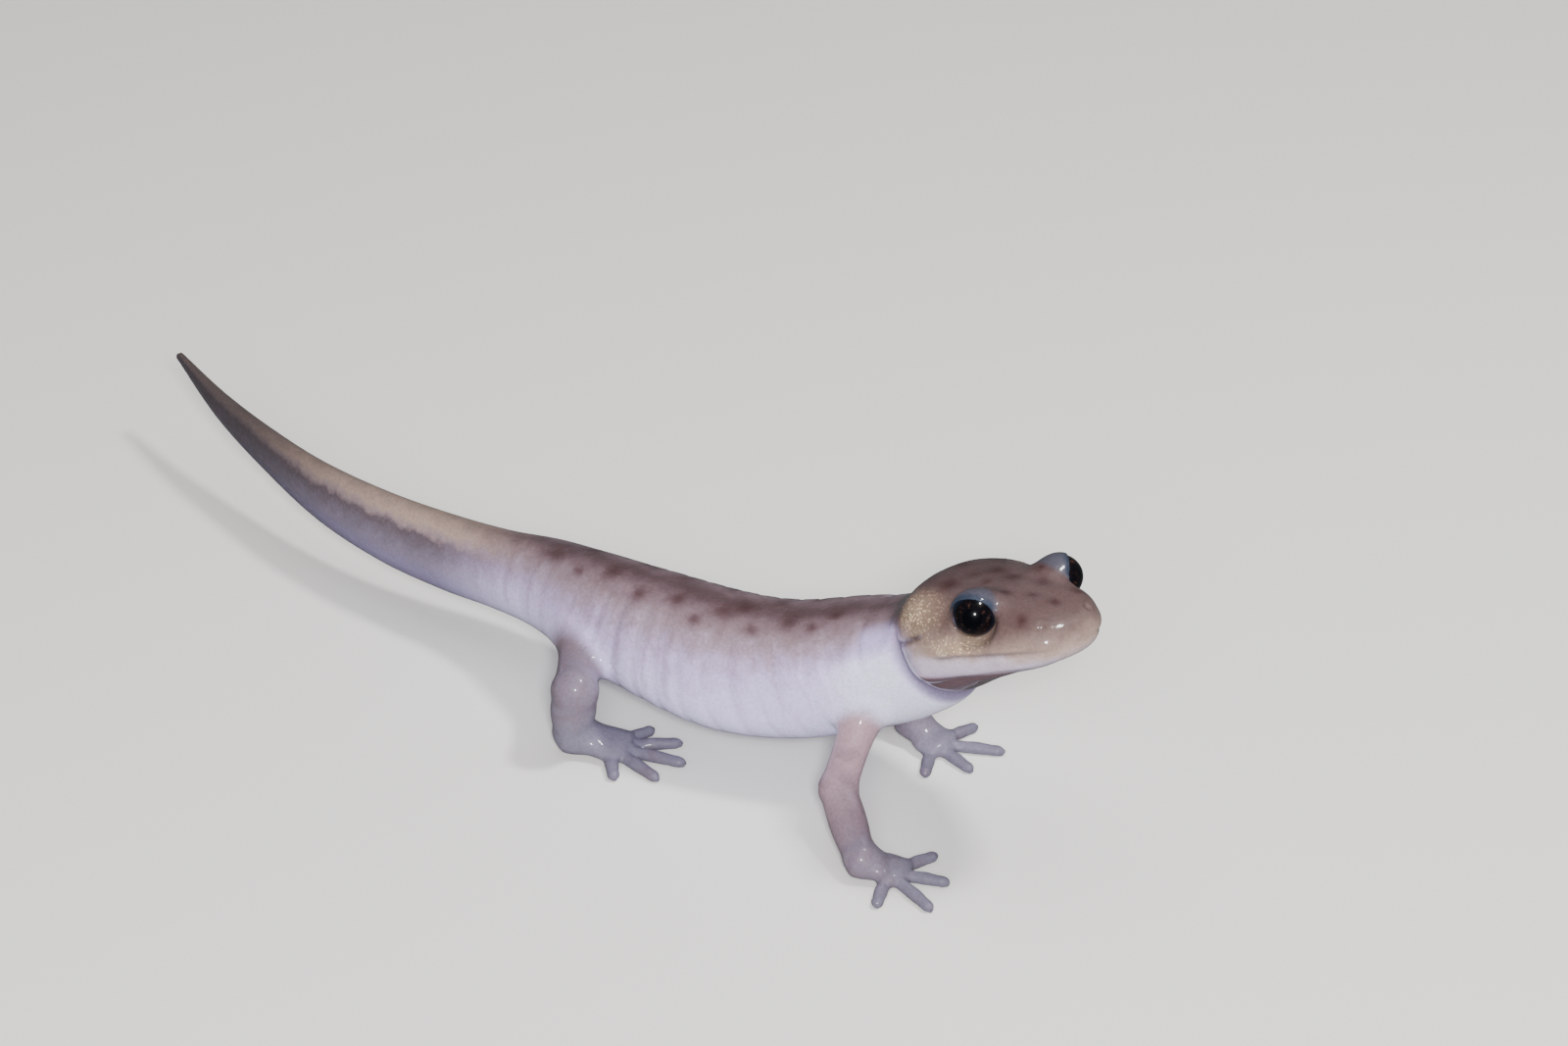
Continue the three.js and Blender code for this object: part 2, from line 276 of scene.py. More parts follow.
def limbTables(shape):
    root, bend, ankle = (np.array(j) for j in shape["joints"])
    centre, sole, r = np.array(shape["centre"]), shape["sole"], shape["radius"]
    out = heading(shape["heading"])
    knuckles = centre + out * sole["length"] * 0.3
    knuckles[2] = sole["height"] * 0.85

    def station(place, half, tall):
        return (*place, half, tall, tall, 2)

    upper = [
        station(root, r * 1.4, r * 1.4),
        station(root * 0.45 + bend * 0.55, r * 1.02, r * 1.02),
        station(bend, r * 1.02, r * 1.02),
    ]
    lower = [
        station(bend, r * 1.02, r * 1.02),
        station((bend + ankle) / 2, r * 1.08, r * 1.08),
        station(ankle, r * 0.88, r * 0.84),
    ]
    palm = [
        station(ankle, r * 0.88, r * 0.84),
        station(ankle * 0.4 + centre * 0.6, r * 1.06, r * 0.68),
        station(centre, sole["half"], sole["height"]),
        station(knuckles, sole["half"] * 0.9, sole["height"] * 0.85),
        station(knuckles + out * 0.5, 0.2, 0.15),
    ]
    samples = limbBuild["samples"]
    tables = [tubeTable(part, samples, shape["upHint"]) for part in (upper, lower)]
    tables.append(tubeTable(palm, samples))
    radius = sole["digitRadius"]
    for fan, reach in sole["digits"]:
        along = heading(shape["heading"] - shape["side"] * fan)
        bones = []
        for share, half, depth in [(sole["root"], 1.15, 1.0), *digitProfile]:
            place = centre + along * reach * share
            place[2] = radius * depth - limbBuild["pressed"]
            bones.append(station(place, radius * half, radius * depth))
        tables.append(tubeTable(bones, limbBuild["digitSamples"]))
    return tables


spine = tubeTable(bodyShape["stations"], bodyShape["samples"])
limbs = {name: limbTables(shape) for name, shape in limbShapes.items()}


def limbField(name, p):  # distance to a limb, and how far down it a point is, 0 to 1 at the toes
    upper, lower, palm, *digits = limbs[name]
    fillets = limbBuild["fillets"]
    d, along, _, _ = tubeField(upper, p)
    reach = 0.35 * along / upper["along"][-1]
    dLower, along, _, _ = tubeField(lower, p)
    reach = np.where(dLower < d, 0.35 + 0.35 * along / lower["along"][-1], reach)
    d = blendMin(d, dLower, fillets["bend"])
    radius = limbShapes[name]["radius"]
    _, bend, ankle = limbShapes[name]["joints"]
    for joint, share in ((bend, 1.07), (ankle, 0.91)):  # a ball at each joint rounds the tubes' ends
        d = blendMin(d, np.linalg.norm(p - joint, axis=1) - radius * share, fillets["ball"])
    dPalm, alongPalm, _, _ = tubeField(palm, p)
    reach = np.where(dPalm < d, 0.7 + 0.12 * alongPalm / palm["along"][-1], reach)
    d = blendMin(d, dPalm, fillets["palm"])
    for digit in digits:
        dDigit, alongDigit, _, _ = tubeField(digit, p)
        reach = np.where(dDigit < d, 0.8 + 0.2 * alongDigit / digit["along"][-1], reach)
        d = blendMin(d, dDigit, fillets["digit"])
    return d, reach


limbBoxes = {}
for name, tables in limbs.items():
    points = np.vstack([t["centre"] for t in tables])
    limbBoxes[name] = (points.min(0) - limbBuild["margin"], points.max(0) + limbBuild["margin"])

# Swellings and hollows of the head, alike on both sides: forward, aside, up, their three
# spreads, and how far they stand out (or in).
headForms = {
    "parotoid": (3.2, 4.3, 1.9, 2.2, 1.6, 1.5, 0.32),
    "cheek": (5.6, 4.9, -0.1, 2.0, 1.4, 0.8, 0.16),
    "jawAngle": (2.3, 4.5, -2.3, 1.5, 1.2, 1.2, 0.3),
    "underEye": (8.6, 4.6, 0.0, 2.2, 1.0, 0.55, 0.12),
    "snoutSide": (11.8, 2.6, 1.3, 1.4, 0.8, 0.6, 0.16),
    "snoutHollow": (11.0, 0.0, 2.5, 1.8, 0.9, 0.9, -0.1),
    "browHollow": (8.7, 1.5, 3.1, 1.6, 0.7, 0.8, -0.14),
    "behindEye": (6.5, 4.6, 2.0, 0.6, 0.9, 0.9, -0.12),
    "frontOfEye": (10.9, 3.6, 1.2, 0.7, 0.7, 0.7, -0.14),
    "nape": (-0.8, 0.0, 2.6, 1.1, 2.2, 1.0, -0.15),
}
mouth = {"corner": 5.0, "groove": 0.2, "width": 0.15, "lip": 0.1}
creases = {
    "neckAt": -0.45, "neckDepth": 0.65, "neckWidth": 0.5,
    "behindEyeFrom": (4.7, 0.8), "behindEyeTo": (0.6, -0.25), "behindEyeDepth": 0.2,
}
shoulderCrease = {"at": (19.9, 0.3), "depth": 0.14}  # place along the body and width, in mm
nostril = {"place": (13.35, 1.95, 0.72), "radius": 0.2, "depth": 0.24}
vent = {"place": (-33.4, 8.0), "spread": (1.6, 1.3), "swelling": 0.45}  # under the root of the tail


def mouthHeight(f):  # the line of the lips: level, a little lower at the corner and snout
    return -0.68 - 0.3 * smoothStep(11.5, 14.2, f) - 0.25 * smoothStep(7.5, 4.8, f)


def lineDistance(f, u, start, end):
    start, end = np.array(start), np.array(end)
    span = end - start
    t = np.clip(((f - start[0]) * span[0] + (u - start[1]) * span[1]) / (span @ span), 0, 1)
    return np.hypot(f - start[0] - t * span[0], u - start[1] - t * span[1]), t


# The depth of each crease at a point of the head, 0 where there is none
def headCreases(f, l, u):
    aside = np.abs(l)
    v = u - mouthHeight(f)
    onLips = smoothStep(mouth["corner"] - 0.5, mouth["corner"] + 0.6, f)
    lips = bell(v, 0, mouth["width"]) * onLips
    neck = bell(f + 0.12 * u, creases["neckAt"], creases["neckWidth"]) * smoothStep(1.8, -0.6, u)
    gap, t = lineDistance(f, u, creases["behindEyeFrom"], creases["behindEyeTo"])
    behind = bell(gap, 0, 0.2) * smoothStep(3.2, 4.0, aside) * smoothStep(0, 0.25, t)
    rim = 0.74 * (5.1 - 0.055 * np.maximum(f - 4, 0) ** 1.8)
    jawRim = bell(aside, rim, 0.45) * smoothStep(-1.9, -2.6, u) * smoothStep(1.0, 2.6, f)
    jawRim = jawRim * smoothStep(12.2, 10.5, f)
    return lips, neck, behind, jawRim


def fleshField(p):
    d, along, across, upward = tubeField(spine, p)
    h = (p - occiput) @ headAxes.T
    onHead = (h[:, 0] > -5) & (h[:, 2] > -9) & (np.abs(h[:, 1]) < 9)
    f, l, u = h[onHead].T
    aside = np.abs(l)
    dh = d[onHead]
    for f0, l0, u0, sf, sl, su, amount in headForms.values():
        dh = dh - amount * bell(f, f0, sf) * bell(aside, l0, sl) * bell(u, u0, su)
    lips, neck, behind, jawRim = headCreases(f, l, u)
    v = u - mouthHeight(f)
    onLips = smoothStep(mouth["corner"] - 1, mouth["corner"] + 1, f)
    dh = dh - mouth["lip"] * bell(v, 0.42, 0.32) * onLips + 0.07 * smoothStep(0.1, -0.2, v) * onLips
    dh = dh + mouth["groove"] * lips + creases["neckDepth"] * neck
    dh = dh + creases["behindEyeDepth"] * behind + 0.2 * jawRim
    f0, l0, u0 = nostril["place"]
    far = np.sqrt((f - f0) ** 2 + (aside - l0) ** 2 + (u - u0) ** 2)
    dh = dh + nostril["depth"] * bell(far, 0, nostril["radius"]) - 0.05 * bell(far, 0.42, 0.16)
    radius, fillets = eyeShape["radius"], eyeShape["fillets"]
    f0, l0, u0 = eyeShape["browPlace"]
    for side in (-1, 1):
        q = p[onHead] - eyeCentre(side)
        out = np.linalg.norm(q, axis=1)
        brow = np.linalg.norm(p[onHead] - headPoint(f0, side * l0, u0), axis=1)
        dh = blendMin(dh, brow - radius - eyeShape["browOut"], fillets["brow"])
        dish = np.linalg.norm(q - eyeShape["dishAhead"] * eyeDirection("axis", side), axis=1)
        dh = blendMax(dh, eyeShape["dishRadius"] - dish, fillets["dish"])
        facing = q @ eyeDirection("axis", side)
        rim = facing - math.cos(eyeShape["opening"]) * radius
        lid = blendMax(out - radius - eyeShape["lidThickness"], rim, fillets["rim"])
        dh = blendMin(dh, lid, fillets["lid"])
        socket = np.minimum(radius - eyeShape["socketInset"] - out, rim + eyeShape["rimInset"])
        dh = np.maximum(dh, socket)
    d[onHead] = dh
    tilt = np.degrees(np.arctan2(upward, np.abs(across)))
    d = d + (shoulderCrease["depth"] * bell(along, *shoulderCrease["at"])
             * smoothStep(-12, 8, tilt) * smoothStep(76, 58, tilt))
    x, y, z = p.T
    d = d - (vent["swelling"] * bell(x, vent["place"][0], vent["spread"][0])
             * bell(y, vent["place"][1], vent["spread"][1]) * smoothStep(5.5, 3.5, z))
    for name, (low, high) in limbBoxes.items():
        close = ((p > low) & (p < high)).all(1)
        if close.any():
            dLimb, _ = limbField(name, p[close])
            d[close] = blendMin(d[close], dLimb, limbShapes[name]["fillet"])
    return blendMax(d, -z, 0.04)


# Polygons of the field's surface, on a grid that is finest at the head and the feet
meshing = {
    "fine": 0.17, "middle": 0.24, "coarse": 0.31,
    "block": 8, "band": 4.2,  # the field is worked out fully in blocks this near to the surface, in mm
    "relax": 3, "longestMove": 0.12,
}


def gridLine(pieces):
    points = [pieces[0][0]]
    for start, end, step in pieces:
        count = max(1, round((end - start) / step))
        points += list(np.linspace(start, end, count + 1)[1:])
    return np.array(points)


def meshField():
    fine, middle, coarse = meshing["fine"], meshing["middle"], meshing["coarse"]
    lines = [
        gridLine([(-79, -6, coarse), (-6, -3, middle), (-3, 13, fine)]),
        gridLine([(-6, 2, middle), (2, 14, fine), (14, 22, middle)]),
        gridLine([(-0.4, 2.2, fine), (2.2, 10, middle), (10, 23.5, fine)]),
    ]
    size = meshing["block"]
    shape = tuple(len(line) for line in lines)
    coarseLines = [line[::size] for line in lines]
    middles = [np.append((c[:-1] + c[1:]) / 2, (c[-1] + line[-1]) / 2)
               for c, line in zip(coarseLines, lines)]
    blocks = np.stack(np.meshgrid(*middles, indexing="ij"), -1)
    rough = fleshField(blocks.reshape(-1, 3)).reshape(blocks.shape[:3])
    whole = np.repeat(np.repeat(np.repeat(rough, size, 0), size, 1), size, 2)
    values = whole[:shape[0], :shape[1], :shape[2]].copy()
    todo = np.argwhere(np.abs(values) < meshing["band"])
    p = np.stack([lines[a][todo[:, a]] for a in range(3)], -1)
    values[tuple(todo.T)] = fleshField(p)
    print("field worked out at", len(p), "places")

    inside = values < 0
    corners = [(i, j, k) for i in (0, 1) for j in (0, 1) for k in (0, 1)]
    cut = [slice(None, -1), slice(1, None)]
    filled = sum(inside[cut[i], cut[j], cut[k]].astype(np.int8) for i, j, k in corners)
    cells = np.argwhere((filled > 0) & (filled < 8))
    number = np.full(filled.shape, -1)
    number[tuple(cells.T)] = np.arange(len(cells))
    total, count = np.zeros((len(cells), 3)), np.zeros(len(cells))
    for axis in range(3):
        for corner in corners:
            if corner[axis]:
                continue
            a = cells + corner
            b = a.copy()
            b[:, axis] += 1
            va, vb = values[tuple(a.T)], values[tuple(b.T)]
            crossing = (va < 0) != (vb < 0)
            t = np.where(crossing, va / np.where(crossing, va - vb, 1), 0)[:, None]
            pa = np.stack([lines[k][a[:, k]] for k in range(3)], -1)
            pb = np.stack([lines[k][b[:, k]] for k in range(3)], -1)
            total += (pa + (pb - pa) * t) * crossing[:, None]
            count += crossing
    vertices = total / count[:, None]

    quads = []
    for axis in range(3):
        u, v = (axis + 1) % 3, (axis + 2) % 3
        low = [slice(None)] * 3
        high = [slice(None)] * 3
        low[axis], high[axis] = slice(None, -1), slice(1, None)
        edges = np.argwhere(inside[tuple(low)] != inside[tuple(high)])
        edges = edges[(edges[:, u] > 0) & (edges[:, v] > 0)]
        du, dv = np.eye(3, dtype=int)[u], np.eye(3, dtype=int)[v]
        around = [number[tuple((edges - shift).T)] for shift in (0 * du, du, du + dv, dv)]
        quad = np.stack(around, -1)
        flip = inside[tuple(edges.T)]
        quad[~flip] = quad[~flip][:, ::-1]
        quads.append(quad)
    return vertices, np.concatenate(quads)


def gradient(p, step=0.03):
    columns = [fleshField(p + e) - fleshField(p - e) for e in np.eye(3) * step]
    return np.stack(columns, -1) / (2 * step)


def ontoSurface(p, rounds):
    for _ in range(rounds):
        g = gradient(p)
        move = (fleshField(p) / np.maximum((g**2).sum(1), 0.05))[:, None] * g
        long = np.linalg.norm(move, axis=1, keepdims=True)
        p = p - move * np.minimum(1, meshing["longestMove"] / np.maximum(long, 1e-9))
    return p


def relaxed(p, quads):  # each point moved most of the way to the middle of its neighbours
    edges = np.concatenate([quads[:, [i, (i + 1) % 4]] for i in range(4)])
    total = np.zeros_like(p)
    for k in range(3):
        total[:, k] = np.bincount(edges[:, 0], p[edges[:, 1], k], len(p))
        total[:, k] += np.bincount(edges[:, 1], p[edges[:, 0], k], len(p))
    count = np.bincount(edges.ravel(), minlength=len(p))
    return p * 0.4 + 0.6 * total / count[:, None]


skinPoints, skinQuads = meshField()
for _ in range(meshing["relax"]):
    skinPoints = ontoSurface(relaxed(skinPoints, skinQuads), 1)
skinPoints = ontoSurface(skinPoints, 2)
skinPoints[:, 2] = np.maximum(skinPoints[:, 2], 0)
print("skin:", len(skinPoints), "points,", len(skinQuads), "quads")

# Where each point of the skin is on the animal: these numbers steer the colours and the relief
bodyGap, along, across, upward = tubeField(spine, skinPoints)
tilt = np.degrees(np.arctan2(upward, np.abs(across)))  # 90 on the back, -90 under the belly
turn = np.degrees(np.arctan2(across, upward))  # from the back, right is positive
headPlace = (skinPoints - occiput) @ headAxes.T
f, l, u = headPlace.T
aside = np.abs(l)
farAway = np.full(len(skinPoints), 9.0)
limbGap = farAway.copy()
reach = np.zeros(len(skinPoints))
for name, (low, high) in limbBoxes.items():
    close = ((skinPoints > low) & (skinPoints < high)).all(1)
    dLimb, limbReach = limbField(name, skinPoints[close])
    nearer = dLimb < limbGap[close]
    limbGap[close] = np.where(nearer, dLimb, limbGap[close])
    if "leg" in name:
        limbReach = 0.55 + 0.45 * limbReach  # the hind legs are as dusky as the forearms
    reach[close] = np.where(nearer, limbReach, reach[close])
limb = smoothStep(-0.5, 1.1, bodyGap - limbGap)
head = smoothStep(-0.9, 0.2, f + 0.12 * u) * (u > -8) * (1 - limb)
lips, neckGroove, behindEye, _ = headCreases(f, l, u)
v = u - mouthHeight(f)
lidGap = farAway.copy()
lidUp = np.zeros(len(skinPoints))
rimGap = farAway.copy()
for side in (-1, 1):
    q = skinPoints - eyeCentre(side)
    out = np.linalg.norm(q, axis=1)
    lidUp = np.where(out < lidGap, (q / out[:, None]) @ headUp, lidUp)
    lidGap = np.minimum(lidGap, out)
    fromAxis = np.arccos(np.clip((q / out[:, None]) @ eyeDirection("axis", side), -1, 1))
    rimGap = np.where(out < 2.2, np.minimum(rimGap, np.abs(fromAxis - eyeShape["opening"])), rimGap)
onLid = smoothStep(1.98, 1.74, lidGap)

# Dark blotches: on the head by place forward, aside (left is positive) and spread; on the body
# by place along it, turn from the back (right is positive) and spread, all in mm or degrees
headBlotches = [
    (6.2, 0.7, 0.8), (8.0, 0.5, 0.65), (4.7, -2.3, 0.7), (10.1, 1.3, 0.5), (9.5, -1.5, 0.45),
    (4.3, 2.5, 0.8), (12.4, 0.15, 0.36), (12.3, -2.7, 0.42), (12.0, 2.5, 0.4), (3.0, 0.2, 0.7),
    (7.0, -1.0, 0.4), (10.9, -0.4, 0.35), (9.0, 2.2, 0.4), (5.4, -0.6, 0.45),
]
bodyBlotches = [
    (35.4, 15, 0.75), (31.5, 13, 0.9), (26.1, 15, 0.8), (33.3, 29, 0.5), (28.8, 27, 0.55),
    (24.2, 22, 0.6), (38.4, 24, 0.7), (41.6, 12, 0.9), (47.4, 16, 1.1), (44.2, 25, 0.6),
    (22.6, 10, 0.6), (29.9, 4, 0.8), (36.6, -16, 0.8), (32.4, -24, 0.7), (27.5, -14, 0.8),
    (24.8, -27, 0.6), (40.0, -21, 0.8), (45.3, -15, 0.9),
]
onHead = sum(bell(f, f0, r) * bell(l, l0, r) for f0, l0, r in headBlotches) * smoothStep(0.2, 1.0, u)
onBody = sum(bell(along, s0, r) * bell((turn - t0) * 0.085, 0, r) for s0, t0, r in bodyBlotches)
granular = bell(f, 3.3, 1.9) * bell(u, 1.9, 1.15) + bell(f, 7.2, 1.9) * bell(u, -0.1, 0.62)
granular = np.clip(granular * smoothStep(2.6, 4.0, aside) * head, 0, 1)
marks = {
    "along": along,
    "shade": 0.5 + tilt / 180,
    "headShade": (u + 0.12 * np.maximum(f - 7, 0) + 2.2) / 5.8,
    "tailShade": 0.5 + tilt / 180,
    "reach": reach,
    "head": head,
    "limb": limb,
    "tail": smoothStep(48, 60, along) * (1 - limb),
    "tailTip": smoothStep(62, 84, along),
    "blotches": np.clip(onHead * head + 0.8 * onBody * (1 - head) * (1 - limb), 0, 1),
    "dorsal": smoothStep(72, 88, tilt) * smoothStep(18, 22, along) * smoothStep(52, 46, along) * (1 - limb),
    "streaked": smoothStep(19, 23, along) * smoothStep(60, 50, along) * smoothStep(-30, 0, tilt)
    * smoothStep(68, 50, tilt) * (1 - limb),
    "neck": smoothStep(15.4, 16.4, along) * smoothStep(20.4, 19.3, along) * smoothStep(66, 40, tilt)
    * smoothStep(-0.6, -1.3, f + 0.12 * u) * (1 - limb),
    "chest": smoothStep(15.2, 16.6, along) * smoothStep(26, 20, along) * smoothStep(30, 5, tilt)
    * smoothStep(-0.8, -1.6, f + 0.12 * u) * (1 - limb),
    "nape": smoothStep(-3.0, -1.5, f) * smoothStep(2.2, 0.8, f) * smoothStep(0.2, 0.9, u) * (aside < 8),
    # painted shade: a dusky purple-grey band laid in the fold where the head overhangs the neck
    "neckFoldShade": smoothStep(-1.0, -0.3, f) * smoothStep(3.0, 0.9, f) * smoothStep(0.5, -0.3, u)
    * (u > -8) * (aside < 8),
    # painted shade: the crease between head and neck darkened along its line
    "groove": np.clip(neckGroove, 0, 1) * (u > -8) * (aside < 8) * (f > -4),
    "granular": granular,
    "jaw": smoothStep(0.1, -0.12, v) * smoothStep(1.6, 3.6, f) * smoothStep(13.6, 11.5, f) * head,
    # partly painted shade: the underside of the jaw is dark maroon as it looks in shade, over its own
    # reddish-brown tint, and the middle of it is a lighter shade
    "underJawTintAndShade": smoothStep(-2.25, -2.7, u) * smoothStep(0.6, 2.0, f) * smoothStep(13.2, 11.8, f) * head,
    "underJawMiddleShade": smoothStep(1.2, 0.0, aside) * smoothStep(-2, -2.6, u) * smoothStep(0, 2, f) * head,
    "lid": onLid * smoothStep(-0.25, 0.2, lidUp),
    "lidUnder": smoothStep(1.76, 1.62, lidGap) * smoothStep(0.2, -0.25, lidUp),
    "lidEdge": smoothStep(1.78, 1.7, lidGap) * smoothStep(0.4, 0.1, rimGap) * smoothStep(-0.1, 0.3, lidUp),
    # painted shade in the mouth crease, together with the brownish edge of the lips
    "lips": np.clip(lips, 0, 1) * head * smoothStep(14.2, 11.5, f),
    # painted shade in the groove behind the eye
    "behindEye": np.clip(behindEye, 0, 1) * head,
    "flank": smoothStep(20.5, 23, along) * smoothStep(44, 40, along) * smoothStep(72, 45, tilt)
    * smoothStep(-60, -35, tilt) * (1 - limb),
}


def meshFrom(name, points, faces, values):
    mesh = bpy.data.meshes.new(name)
    mesh.vertices.add(len(points))
    mesh.vertices.foreach_set("co", ((points + toRow) * mm).ravel())
    mesh.loops.add(faces.size)
    mesh.loops.foreach_set("vertex_index", faces.ravel())
    mesh.polygons.add(len(faces))
    sides = faces.shape[1]
    mesh.polygons.foreach_set("loop_start", np.arange(len(faces)) * sides)
    mesh.polygons.foreach_set("loop_total", np.full(len(faces), sides))
    mesh.update(calc_edges=True)
    mesh.validate()
    for key, numbers in values.items():
        mesh.attributes.new(key, "FLOAT", "POINT").data.foreach_set("value", numbers.astype(np.float32))
    mesh.shade_smooth()
    piece = bpy.data.objects.new(name, mesh)
    bpy.context.scene.collection.objects.link(piece)
    return piece


def facedOut(points, faces):  # the faces of a closed shape round the origin, wound outward
    a, b, c = (points[faces[:, k]] for k in range(3))
    inward = (np.cross(b - a, c - a) * a).sum() < 0
    return np.ascontiguousarray(faces[:, ::-1] if inward else faces)


skin = meshFrom("skin", skinPoints, facedOut(skinPoints, skinQuads), marks)
print("skin meshed")


def linear(code):  # sRGB hex to linear RGBA
    parts = [int(code[i:i + 2], 16) / 255 for i in (1, 3, 5)]
    return [c / 12.92 if c <= 0.04045 else ((c + 0.055) / 1.055) ** 2.4 for c in parts] + [1]


def addNode(tree, kind, settings=None, inputs=None):  # one node, its settings and its links
    node = tree.nodes.new(kind)
    for key, value in (settings or {}).items():
        setattr(node, key, value)
    for key, value in (inputs or {}).items():
        if isinstance(value, bpy.types.NodeSocket):
            tree.links.new(value, node.inputs[key])
        else:
            node.inputs[key].default_value = value
    return node


def fillRamp(ramp, rows):  # the first two rows take over the ramp's own two stops
    stops = ramp.color_ramp.elements
    for i, (at, code) in enumerate(rows):
        stop = stops[i] if i < 2 else stops.new(at)
        stop.position = at
        stop.color = linear(code)


def newMaterial(name):
    material = bpy.data.materials.new(name)
    material.use_nodes = True
    tree = material.node_tree
    tree.nodes.clear()
    return material, tree


# Moist amphibian skin: thin, translucent and scaleless, so light scatters in it and every turn
# of it carries a small hard glint from its film of water. Noise scales are per millimetre:
# patches about 2.5 mm across, mottles 1 mm, grain a quarter of a millimetre.
skinLook = {
    # each ramp is read by the first mark and laid on by the second
    "ramps": {
        "shade": (None, [
            (0.0, "#cac7e8"), (0.3, "#cfcaf1"), (0.5, "#cdc1ec"), (0.6, "#c0afdb"), (0.67, "#ae9bbd"),
            (0.73, "#9b889b"), (0.79, "#8e7a84"), (0.85, "#806b73"), (0.91, "#6f5c62"), (0.97, "#5f4c52"),
            (1.0, "#554448"),
        ]),
        "tailShade": ("tail", [
            (0.0, "#6f6984"), (0.36, "#7e769a"), (0.5, "#786e82"), (0.62, "#665c68"), (0.69, "#5d5159"),
            (0.75, "#8c7a7e"), (0.82, "#9f897e"), (0.92, "#8b786f"), (1.0, "#7d6c66"),
        ]),
        "headShade": ("head", [
            (0.0, "#b9a9c4"), (0.16, "#c3b4ca"), (0.24, "#b5a3a8"), (0.32, "#a68f86"), (0.44, "#8b756e"),
            (0.56, "#705c58"), (0.68, "#5c4947"), (0.8, "#5d4948"), (0.9, "#5e4b4b"), (1.0, "#4f3d3e"),
        ]),
        "reach": ("limb", [
            (0.0, "#b0939b"), (0.3, "#a58893"), (0.42, "#98808a"), (0.55, "#836e79"), (0.68, "#786b7a"),
            (0.82, "#7a7587"), (1.0, "#6a6678"),
        ]),
    },
    # scale, detail and roughness
    "noises": {"patches": (0.42, 2.5, 0.5), "mottles": (0.95, 3.5, 0.6), "grain": (4.5, 4.0, 0.65)},
    "streaks": (0.7, 2.0, 0.5), "streakBend": 1.1,
    "flecks": 4.2, "granules": 3.4, "granuleSoftness": 0.6,
    "wobble": 0.05, "grainTint": (0.85, 1.13),
    # mark, colour, noise that breaks it up, from, to, strength
    "layers": [
        ("dorsal", "#4c3b3e", "patches", 0.2, 0.7, 0.7),
        ("streaked", "#75626a", "streaks", 0.5, 0.75, 0.3),
        ("streaked", "#e2d6ee", "streaks", 0.45, 0.2, 0.12),
        ("tailTip", "#3b3538", "mottles", 0.0, 0.3, 0.85),
        ("neck", "#c6b6ea", "mottles", 0.0, 0.3, 0.85),
        ("chest", "#e3e3ff", "mottles", 0.0, 0.3, 0.85),
        ("jaw", "#c9bcd0", "patches", 0.35, 0.65, 0.7),
        ("granular", "#ad937c", "mottles", 0.0, 0.2, 0.95),
        ("granular", "#6f5b4e", "mottles", 0.5, 0.62, 0.65),
        ("granular", "#f6dab6", "flecks", 0.44, 0.18, 0.9),
        # painted shade in the fold behind the head
        ("neckFoldShade", "#6b6180", "mottles", 0.0, 0.2, 0.85),
        ("nape", "#534140", "mottles", 0.0, 0.2, 0.8),
        # painted shade under the jaw over its reddish-brown tint, lighter in the middle
        ("underJawTintAndShade", "#553d42", "mottles", 0.0, 0.2, 0.95),
        ("underJawMiddleShade", "#8b7a84", "mottles", 0.1, 0.6, 0.4),
        ("blotches", "#3c2324", "mottles", 0.15, 0.42, 0.9),
        ("head", "#5a494b", "patches", 0.56, 0.7, 0.3),
        ("limb", "#6b5962", "patches", 0.54, 0.68, 0.35),
        ("lid", "#4b4a57", "mottles", 0.0, 0.2, 0.9),
        ("lidEdge", "#2a3445", "mottles", 0.0, 0.2, 0.9),
        ("lidUnder", "#7d6c62", "mottles", 0.0, 0.2, 0.7),
        # painted shade in the mouth crease, with the lips' brownish edge
        ("lips", "#5c4b4d", "mottles", 0.0, 0.2, 0.7),
        # painted shade in the groove behind the eye
        ("behindEye", "#3d2f33", "mottles", 0.0, 0.2, 0.8),
        # painted shade along the neck crease
        ("groove", "#4e4357", "mottles", 0.0, 0.2, 0.75),
    ],
    "roughness": (0.36, 0.56),
    "wet": 1.0, "wetRoughness": 0.08,
    "relief": {"grain": 0.8, "strength": 0.28, "distance": 0.00008},
}


